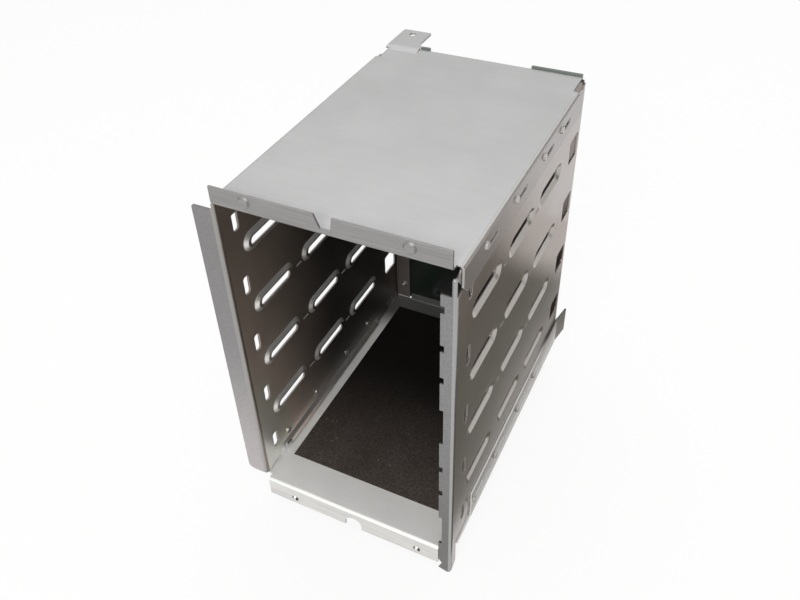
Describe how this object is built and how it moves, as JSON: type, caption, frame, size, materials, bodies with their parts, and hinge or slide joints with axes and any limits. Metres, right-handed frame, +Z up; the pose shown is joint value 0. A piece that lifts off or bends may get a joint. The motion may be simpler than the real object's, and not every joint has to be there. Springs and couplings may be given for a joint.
{
  "type": "hot swap drive cage",
  "caption": "Riveted sheet steel cage, open at the front, with pressed rails and slots for sliding drives in and a backplane with connectors at the rear",
  "frame": {"origin": "centre of the bottom panel's flat underside", "axes": "+Y points from the open front to the backplane, +Z is up, +X is to the right seen from the front"},
  "size_m": [0.1277, 0.1949, 0.2137],
  "materials": {
    "zinc_steel": "satin zinc-plated sheet steel with a faint brushed grain",
    "rivet_steel": "bright plated rivets",
    "mat_black": "matt black insulating sheet with a fine grain",
    "board_green": "dark green solder mask",
    "connector_black": "moulded black housing",
    "power_white": "moulded off-white housing",
    "contact_gold": "gold-plated contacts",
    "pin_tin": "tin-plated pins",
    "screw_zinc": "bright zinc-plated screws",
    "capacitor_can": "bare aluminium cans"
  },
  "bodies": {
    "root": {"top_panel": "zinc_steel", "bottom_panel": "zinc_steel", "left_wall": "zinc_steel", "right_wall": "zinc_steel", "floor_mat": "mat_black", "rivets_top_left": "rivet_steel", "rivets_top_right": "rivet_steel", "rivets_bottom_left": "rivet_steel", "rivets_bottom_right": "rivet_steel", "backplane_board": "board_green", "board_screws": "screw_zinc", "power_connector_1": "power_white", "power_connector_2": "power_white", "power_pins": "pin_tin", "signal_connector": "connector_black", "signal_contacts": "contact_gold", "board_capacitors": "capacitor_can", "drive_connector_1": "connector_black", "drive_contacts_1": "contact_gold", "drive_connector_2": "connector_black", "drive_contacts_2": "contact_gold", "drive_connector_3": "connector_black", "drive_contacts_3": "contact_gold", "drive_connector_4": "connector_black", "drive_contacts_4": "contact_gold", "drive_connector_5": "connector_black", "drive_contacts_5": "contact_gold"}
  },
  "joints": []
}
